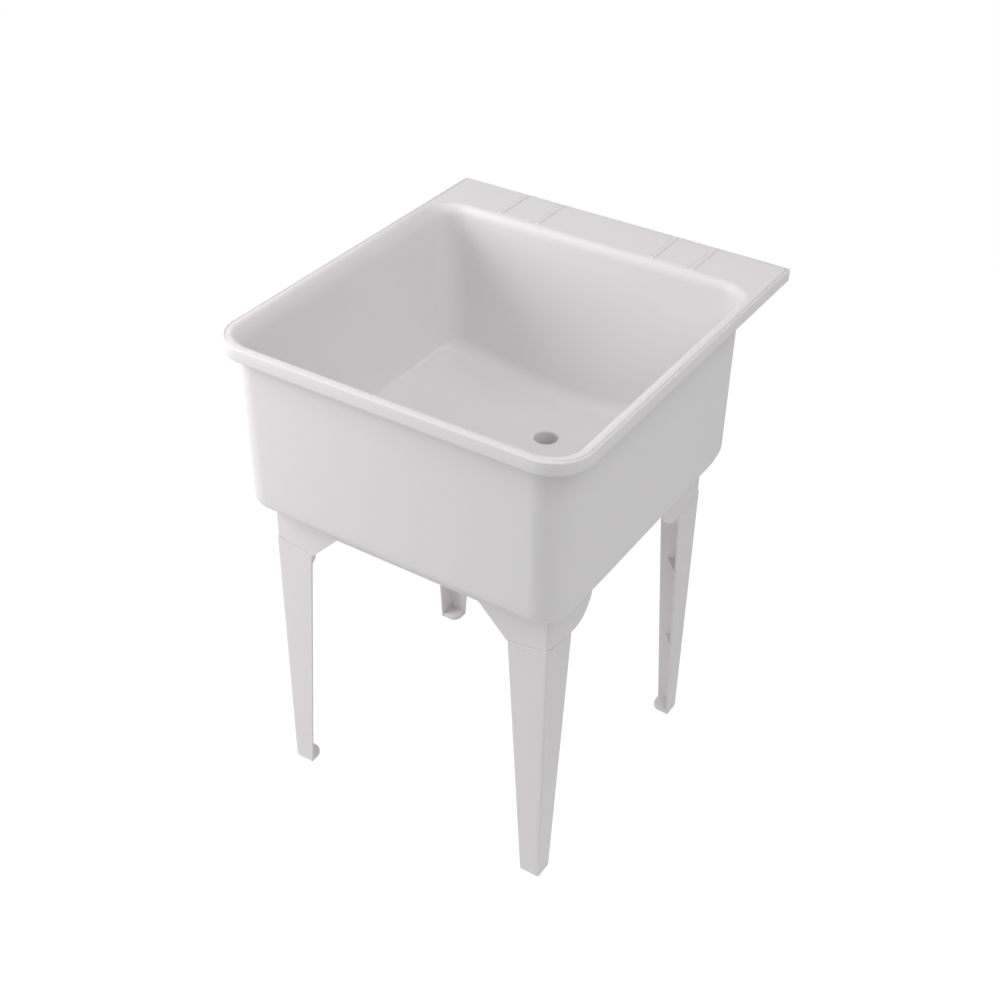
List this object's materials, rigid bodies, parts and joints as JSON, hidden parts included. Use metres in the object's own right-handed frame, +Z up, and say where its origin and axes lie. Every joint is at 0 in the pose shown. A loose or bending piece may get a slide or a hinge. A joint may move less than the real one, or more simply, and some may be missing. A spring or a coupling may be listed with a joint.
{
  "type": "utility laundry sink",
  "caption": "Floor-standing utility laundry sink: a moulded plastic tub with a ridged rear deck, on four tapered angle-section legs.",
  "frame": {"origin": "on the floor, under the middle of the rim's outline", "axes": "+Z up, +Y towards the rear deck and the wall, +X to the right of someone standing in front of the sink"},
  "size_m": [0.616, 0.682, 0.864],
  "materials": {
    "tub_plastic": "satin, fine moulded grain, off-white",
    "leg_plastic": "satin, off-white",
    "drain_plastic": "semi-gloss, white",
    "washer_rubber": "matte black",
    "screw_steel": "zinc-plated"
  },
  "bodies": {
    "root": {"tub": "tub_plastic", "leg_front_left": "leg_plastic", "leg_front_right": "leg_plastic", "leg_back_left": "leg_plastic", "leg_back_right": "leg_plastic", "screw_front_left_1": "screw_steel", "screw_front_left_2": "screw_steel", "screw_front_left_3": "screw_steel", "screw_front_right_1": "screw_steel", "screw_front_right_2": "screw_steel", "screw_front_right_3": "screw_steel", "screw_back_left_1": "screw_steel", "screw_back_left_2": "screw_steel", "screw_back_left_3": "screw_steel", "screw_back_right_1": "screw_steel", "screw_back_right_2": "screw_steel", "screw_back_right_3": "screw_steel", "drain_washer": "washer_rubber", "tailpiece": "drain_plastic", "coupling_nut": "drain_plastic"}
  },
  "joints": []
}
